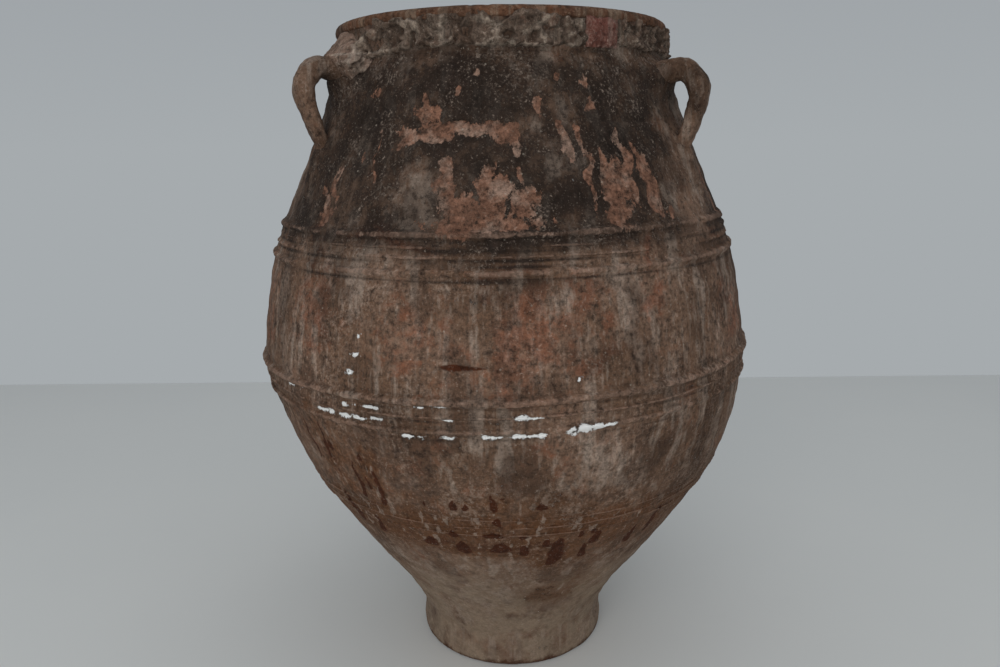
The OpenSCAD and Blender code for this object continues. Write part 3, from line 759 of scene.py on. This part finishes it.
def colour(code):
    """sRGB hex to a linear colour."""
    parts = [int(code[i:i + 2], 16) / 255 for i in (1, 3, 5)]
    return tuple(c / 12.92 if c <= 0.04045 else ((c + 0.055) / 1.055) ** 2.4 for c in parts) + (1.0,)


def add(tree, kind, inputs=(), **settings):
    """Adds a node, sets it up, and fills its sockets with values or links."""
    node = tree.nodes.new(kind)
    for key, value in settings.items():
        setattr(node, key, value)
    for socket, value in dict(inputs).items():
        if isinstance(value, bpy.types.NodeSocket):
            tree.links.new(value, node.inputs[socket])
        else:
            node.inputs[socket].default_value = value
    return node


# Colours that every clay shares: soft blotches, rusty wash, pale grit, plaster.
BLOTCH_BROWN = "#4c382c"
RUSTY_WASH = "#624028"
GRIT_GREY = "#a3998b"
PLASTER_WHITE = "#fbfaf7"


def clay_material(name, tones, dark=1.0, pale_low=0.0, grit=1.0, marks=True, bare=True):
    """Unglazed low-fired earthenware left outdoors: matt and gritty, stained in layers.

    tones: ground, second ground, warm red, lichen black (also used for painted shade beside the cords),
    bare clay, lime, rust, dust.
    """
    mat = bpy.data.materials.new(name)
    mat.use_nodes = True
    tree = mat.node_tree
    tree.nodes.clear()
    ground, second, warm, black, fresh, lime, rust, dust = (colour(t) for t in tones)

    where = add(tree, "ShaderNodeTexCoord").outputs["Object"]
    tall = add(tree, "ShaderNodeMapping", {"Vector": where, "Scale": (1, 1, 0.12)}).outputs[0]
    teeth = add(tree, "ShaderNodeMapping", {"Vector": where, "Scale": (1, 1, 0.30)}).outputs[0]

    def speckle(place, size_mm, detail=4.0, rough=0.6, seed=0.0):
        shift = (seed, -seed, 0.5 * seed)
        moved = add(tree, "ShaderNodeMapping", {"Vector": place, "Location": shift}).outputs[0]
        made = add(tree, "ShaderNodeTexNoise", {"Vector": moved, "Scale": 1000 / size_mm, "Detail": detail,
                                                "Roughness": rough}, noise_dimensions="3D")
        return made.outputs["Fac"]

    def calc(what, a, b=None, clamp=False):
        inputs = {0: a} if b is None else {0: a, 1: b}
        return add(tree, "ShaderNodeMath", inputs, operation=what, use_clamp=clamp).outputs[0]

    def between(value, low, high):
        made = add(tree, "ShaderNodeMapRange", {"Value": value, "From Min": low, "From Max": high},
                   interpolation_type="SMOOTHSTEP")
        return made.outputs["Result"]

    def over(fac, under, top, blend="MIX"):
        made = add(tree, "ShaderNodeMix", {0: fac, 6: under, 7: top}, data_type="RGBA", blend_type=blend)
        return made.outputs[2]

    def swing(noise_value, much):
        """Noise made to swing either side of nothing."""
        return calc("MULTIPLY", calc("SUBTRACT", noise_value, 0.5), much)

    wear = add(tree, "ShaderNodeAttribute", attribute_name="wear")
    parts = add(tree, "ShaderNodeSeparateColor", {"Color": wear.outputs["Color"]})
    bare_spot, red_spot, lime_spot = (parts.outputs[i] for i in range(3))
    dark_spot = wear.outputs["Alpha"]
    mark = add(tree, "ShaderNodeAttribute", attribute_name="marks")
    stain = add(tree, "ShaderNodeSeparateColor", {"Color": mark.outputs["Color"]})
    white_spot, drip_spot, crest_spot = (stain.outputs[i] for i in range(3))
    rusty_spot = mark.outputs["Alpha"]
    height = add(tree, "ShaderNodeSeparateXYZ", {"Vector": where}).outputs["Z"]

    broad = speckle(where, 150, 3, 0.55, 0.3)
    middling = speckle(where, 34, 5, 0.65, 1.7)
    small = speckle(where, 15, 6, 0.75, 6.1)
    fine = speckle(where, 7, 6, 0.78, 3.1)
    grit_dots = speckle(where, 3.4, 4, 0.75, 4.9)
    streaks = speckle(tall, 26, 5, 0.62, 5.3)
    thin_streaks = speckle(tall, 8, 5, 0.65, 7.7)
    ragged = speckle(teeth, 14, 6, 0.72, 9.1)

    # Ground: two browns in patches, then up-and-down streaks, then warm red where it shows.
    look = over(between(calc("ADD", broad, swing(small, 1.4)), 0.36, 0.64), ground, second)
    look = over(calc("MULTIPLY", between(streaks, 0.50, 0.62), 0.62), look, lime)
    look = over(calc("MULTIPLY", between(thin_streaks, 0.47, 0.30), 0.42), look, black)
    look = over(calc("MULTIPLY", between(thin_streaks, 0.54, 0.66), 0.42), look, lime)
    warm_fac = calc("ADD", red_spot, calc("ADD", swing(middling, 2.2), swing(small, 1.6)))
    warm_fac = between(warm_fac, 0.30, 0.95)
    look = over(calc("MULTIPLY", warm_fac, 0.66), look, warm)
    hot_fac = between(calc("ADD", swing(speckle(where, 60, 5, 0.7, 14.2), 1.0), small), 0.56, 0.74)
    look = over(calc("MULTIPLY", hot_fac, 0.35), look, warm)
    lime_fac = calc("ADD", lime_spot, calc("ADD", swing(ragged, 2.6), swing(small, 1.0)))
    lime_fac = between(lime_fac, 0.35, 1.0)
    look = over(calc("MULTIPLY", lime_fac, 0.62), look, lime)

    # Soft brown blotches, then pale dry dust towards the foot.
    blotch = calc("ADD", speckle(where, 75, 4, 0.6, 21.3), swing(speckle(tall, 40, 4, 0.6, 23.1), 0.7))
    look = over(calc("MULTIPLY", between(blotch, 0.49, 0.61), 0.55), look, colour(BLOTCH_BROWN))
    low_fac = between(calc("ADD", height, swing(broad, 0.22)), 0.27, 0.13)
    low_fac = calc("MULTIPLY", low_fac, between(middling, 0.30, 0.60))
    look = over(calc("MULTIPLY", low_fac, 0.25 + pale_low), look, dust)
    # Rust-brown along the very bottom edge: partly staining, partly painted contact shade where the foot
    # meets the floor.
    foot_edge_stain_and_shade_fac = between(calc("ADD", height, swing(middling, 0.03)), 0.011, 0.004)
    look = over(calc("MULTIPLY", foot_edge_stain_and_shade_fac, 0.75), look, rust)

    # Rusty wash, with darker streaks in it.
    wash_fac = calc("ADD", rusty_spot, calc("ADD", swing(streaks, 1.3), swing(middling, 0.9)))
    wash_fac = between(wash_fac, 0.12, 0.62)
    rusty_fac = calc("ADD", rusty_spot, calc("ADD", swing(thin_streaks, 2.6), swing(small, 1.2)))
    rusty_fac = between(rusty_fac, 0.62, 1.15)
    if marks:
        look = over(calc("MULTIPLY", wash_fac, 0.80), look, colour(RUSTY_WASH))
        look = over(calc("MULTIPLY", rusty_fac, 0.55), look, rust)

    # Dark lichen crust and grime, plus painted shade in the grooves beside the cords, broken up by the
    # clay's own grain.
    crust_and_groove_shade = calc("ADD", dark_spot, calc("ADD", swing(middling, 1.3), swing(broad, 1.1)))
    crust_and_groove_shade = calc("ADD", crust_and_groove_shade, calc("ADD", swing(fine, 2.2), swing(small, 1.6)))
    crust_and_groove_shade_fac = calc("MULTIPLY", between(crust_and_groove_shade, 0.36, 1.06), dark)
    look = over(calc("MULTIPLY", crust_and_groove_shade_fac, 0.92), look, black)
    haze = calc("ADD", grit_dots, swing(fine, 0.6))
    haze = calc("ADD", swing(speckle(where, 70, 4, 0.6, 12.2), 0.9), haze)
    look = over(calc("MULTIPLY", between(haze, 0.56, 0.80), 0.34), look, lime)

    # Bare clay where the crust has flaked away, with ragged upright edges.
    flake = calc("ADD", bare_spot, calc("ADD", swing(ragged, 1.7), swing(fine, 0.8)))
    flake_fac = between(flake, 0.50, 0.60)
    if bare:
        fresh_look = over(between(middling, 0.44, 0.64), fresh, over(0.42, fresh, lime))
        fresh_look = over(calc("MULTIPLY", between(fine, 0.46, 0.30), 0.45), fresh_look, black)
        look = over(calc("MULTIPLY", flake_fac, 0.90), look, fresh_look)

    # Thin pale runs across the rusty wash.
    runs = between(speckle(tall, 11, 3, 0.5, 31.7), 0.60, 0.66)
    runs = calc("MULTIPLY", runs, between(rusty_spot, 0.25, 0.6))
    if marks:
        look = over(calc("MULTIPLY", runs, 0.55), look, lime)

    # Cord crests paler, partly rubbed down to paler clay and partly a painted highlight; then rust-brown
    # drips.
    rubbed_and_highlight_fac = calc("ADD", crest_spot, calc("ADD", swing(middling, 2.0), swing(fine, 1.2)))
    rubbed_and_highlight_fac = between(rubbed_and_highlight_fac, 0.55, 1.1)
    look = over(calc("MULTIPLY", rubbed_and_highlight_fac, 0.50), look, over(0.35, fresh, lime))
    drip_fac = between(calc("ADD", drip_spot, calc("ADD", swing(small, 0.7), swing(fine, 0.5))), 0.42, 0.68)
    if marks:
        look = over(calc("MULTIPLY", drip_fac, 0.94), look, rust)

    # The lower walls are calmer: the fine variation fades out towards the foot.
    calmer = add(tree, "ShaderNodeMapRange", {"Value": height, "From Min": 0.16, "From Max": 0.50,
                                              "To Min": 0.30, "To Max": 1.0}).outputs["Result"]
    # Grit: pale grains and dark pits a few millimetres across, drawn a little coarse to show.
    look = over(calc("MULTIPLY", between(grit_dots, 0.57, 0.72), 0.50), look, lime)
    pit_fac = calc("MULTIPLY", between(grit_dots, 0.43, 0.29), calc("MULTIPLY", calmer, 0.48))
    look = over(pit_fac, look, black)
    dots = add(tree, "ShaderNodeTexVoronoi", {"Vector": where, "Scale": 1000 / 13, "Randomness": 1.0},
               feature="F1").outputs["Distance"]
    dot_fac = calc("MULTIPLY", between(dots, 0.13, 0.07), between(middling, 0.47, 0.58))
    look = over(calc("MULTIPLY", dot_fac, 0.50), look, colour(GRIT_GREY))
    mottle = calc("ADD", calc("MULTIPLY", fine, 0.55), calc("MULTIPLY", small, 0.45))
    shade = add(tree, "ShaderNodeMapRange", {"Value": mottle, "From Min": 0.395, "From Max": 0.605,
                                             "To Min": 0.30, "To Max": 1.74})
    look = over(calmer, look, shade.outputs["Result"], "MULTIPLY")

    white_fac = calc("ADD", white_spot, calc("ADD", swing(fine, 2.0), swing(small, 1.2)))
    white_fac = between(white_fac, 0.44, 0.54)
    if marks:
        look = over(white_fac, look, colour(PLASTER_WHITE))

    # Relief finer than the mesh: pits, crust thickness, sunk flakes.
    relief = calc("ADD", calc("MULTIPLY", fine, 1.0 * grit), calc("MULTIPLY", grit_dots, 0.5 * grit))
    relief = calc("ADD", relief, calc("MULTIPLY", small, 0.9))
    relief = calc("ADD", relief, calc("MULTIPLY", crust_and_groove_shade_fac, 0.30))
    if bare:
        relief = calc("SUBTRACT", relief, calc("MULTIPLY", flake_fac, 0.45))
    if marks:
        relief = calc("ADD", relief, calc("MULTIPLY", white_fac, 0.8))
    shape = add(tree, "ShaderNodeBump", {"Strength": 1.0, "Distance": 0.0020, "Height": relief}).outputs[0]

    shader = add(tree, "ShaderNodeBsdfPrincipled", {"Base Color": look, "Roughness": 0.92,
                                                    "IOR": 1.45, "Specular IOR Level": 0.2,
                                                    "Normal": shape})
    add(tree, "ShaderNodeOutputMaterial", {"Surface": shader.outputs[0]})
    return mat


# ground, second ground, warm red, lichen black (also the painted shade beside the cords), bare clay, lime,
# rust, dust
TONES = {
    "wall": ("#7d6352", "#69503f", "#794c38", "#211a16", "#7e5a48", "#9e8d7f", "#42200f", "#8f7c69"),
    "ochre": ("#6d4b37", "#573c2d", "#75452e", "#33261f", "#77523b", "#8c7a68", "#4a2514", "#9f8b74"),
    "mortar": ("#726053", "#5a4a3f", "#704f41", "#2b221c", "#7a6a5a", "#a89888", "#553a2b", "#8f8676"),
    "pink": ("#a68b7a", "#8c7262", "#966c5c", "#3a2f27", "#a68b7b", "#bbac9d", "#553a2b", "#9f8b74"),
    "red": ("#855247", "#6f453b", "#8a5044", "#3a2a24", "#8a584a", "#9a8478", "#4a2514", "#8f6f60"),
}


# ---------------------------------------------------------------- the jar

fired_clay = clay_material("weathered_earthenware", TONES["wall"], pale_low=0.65)
bare_lip_clay = clay_material("orange_earthenware", TONES["ochre"], dark=0.25, grit=0.5,
                              marks=False, bare=False)
rough_mortar = clay_material("lime_mortar_crust", TONES["mortar"], dark=0.6, grit=1.6,
                             marks=False, bare=False)
pink_mortar = clay_material("pink_lime_mortar", TONES["pink"], dark=0.25, grit=1.6,
                            marks=False, bare=False)
red_clay = clay_material("red_fired_clay", TONES["red"], dark=0.35, marks=False, bare=False)

foot_ring, base_disc = foot()
clay_pieces = [
    foot_ring,
    base_disc,
    wall_section("stem_wall", JOIN_STEM, JOIN_LOWER),
    wall_section("lower_wall", JOIN_LOWER, JOIN_UNDER),
    wall_section("under_belly_wall", JOIN_UNDER, JOIN_BELLY),
    wall_section("belly_wall", JOIN_BELLY, JOIN_SHOULDER),
    wall_section("shoulder_wall", JOIN_SHOULDER, JOIN_NECK),
    neck(),
    collar(),
    *[cord(*row) for row in CORDS],
    handle("handle_right", RIGHT, 1.0, lift=-5.0),
    handle("handle_left", LEFT, 2.0, lift=4.0),
    handle("handle_back", BACK, 3.0),
]
for piece in clay_pieces:
    piece.data.materials.append(fired_clay)
lip().data.materials.append(bare_lip_clay)
mortar_coat().data.materials.append(rough_mortar)
red_patch().data.materials.append(red_clay)
mortar_lump().data.materials.append(pink_mortar)


# ---------------------------------------------------------------- room, light and camera

def floor_material():
    mat = bpy.data.materials.new("painted_floor")
    mat.use_nodes = True
    tree = mat.node_tree
    shader = tree.nodes["Principled BSDF"]
    place = add(tree, "ShaderNodeTexCoord").outputs["Object"]
    mottle = add(tree, "ShaderNodeTexNoise", {"Vector": place, "Scale": 1.6, "Detail": 4.0,
                                              "Roughness": 0.6})
    tint = add(tree, "ShaderNodeMix", data_type="RGBA")
    tint.inputs[6].default_value = colour("#e4e5e2")
    tint.inputs[7].default_value = colour("#eaeae6")
    tree.links.new(mottle.outputs["Fac"], tint.inputs[0])
    tree.links.new(tint.outputs[2], shader.inputs["Base Color"])
    shader.inputs["Roughness"].default_value = 0.6
    shader.inputs["Specular IOR Level"].default_value = 0.2
    return mat


# The floor's far edge lies just behind the jar and is turned a little to the view.
FLOOR_EDGE = 1.49
FLOOR_TURN = math.radians(-0.4)
FLOOR_HALF_WIDTH, FLOOR_HALF_DEPTH = 9.0, 5.0

bm = bmesh.new()
bmesh.ops.create_grid(bm, x_segments=1, y_segments=1, size=1.0)
bmesh.ops.scale(bm, vec=(FLOOR_HALF_WIDTH, FLOOR_HALF_DEPTH, 1.0), verts=bm.verts)
bmesh.ops.translate(bm, vec=(0, FLOOR_EDGE - FLOOR_HALF_DEPTH, 0), verts=bm.verts)
bmesh.ops.rotate(bm, verts=bm.verts, cent=(0, FLOOR_EDGE, 0), matrix=Matrix.Rotation(FLOOR_TURN, 3, "Z"))
floor_mesh = bpy.data.meshes.new("floor")
bm.to_mesh(floor_mesh)
bm.free()
floor = bpy.data.objects.new("floor", floor_mesh)
floor.data.materials.append(floor_material())
bpy.context.scene.collection.objects.link(floor)

world = bpy.data.worlds.new("studio")
bpy.context.scene.world = world
world.use_nodes = True
backdrop = world.node_tree.nodes["Background"]
direction = add(world.node_tree, "ShaderNodeTexCoord").outputs["Generated"]
rise_up = add(world.node_tree, "ShaderNodeSeparateXYZ", {"Vector": direction}).outputs["Z"]
fade = add(world.node_tree, "ShaderNodeValToRGB", {"Fac": rise_up})
fade.color_ramp.elements[0].position = 0.0
fade.color_ramp.elements[0].color = colour("#a6abae")
fade.color_ramp.elements[1].position = 0.35
fade.color_ramp.elements[1].color = colour("#989da2")
world.node_tree.links.new(fade.outputs["Color"], backdrop.inputs["Color"])
backdrop.inputs["Strength"].default_value = 1.0


def soft_light(name, place, aim, size, power):
    data = bpy.data.lights.new(name, "AREA")
    data.shape = "SQUARE"
    data.size = size
    data.energy = power
    lamp = bpy.data.objects.new(name, data)
    lamp.location = place
    lamp.rotation_euler = (Vector(aim) - Vector(place)).to_track_quat("-Z", "Y").to_euler()
    bpy.context.scene.collection.objects.link(lamp)


soft_light("ceiling_panel", (0.2, -0.6, 3.2), (0, 0, 0.4), 4.0, 18)
soft_light("window", (-0.7, -3.4, 1.6), (0, 0, 0.5), 2.6, 42)

# The camera stands at eye height for someone seated, looks a little down, and is rolled slightly.
CAMERA_PLACE = (-0.0145, -1.3157, 0.8294)
CAMERA_DOWN, CAMERA_ROLL = 0.2301, -0.0120
LENS_MM, SENSOR_MM = 29.05, 36

camera_data = bpy.data.cameras.new("camera")
camera_data.sensor_width = SENSOR_MM
camera_data.lens = LENS_MM
camera = bpy.data.objects.new("camera", camera_data)
camera.matrix_world = (Matrix.Translation(CAMERA_PLACE)
                       @ Matrix.Rotation(math.pi / 2 - CAMERA_DOWN, 4, "X")
                       @ Matrix.Rotation(CAMERA_ROLL, 4, "Z"))
bpy.context.scene.collection.objects.link(camera)
bpy.context.scene.camera = camera
bpy.context.scene.view_settings.view_transform = "Standard"
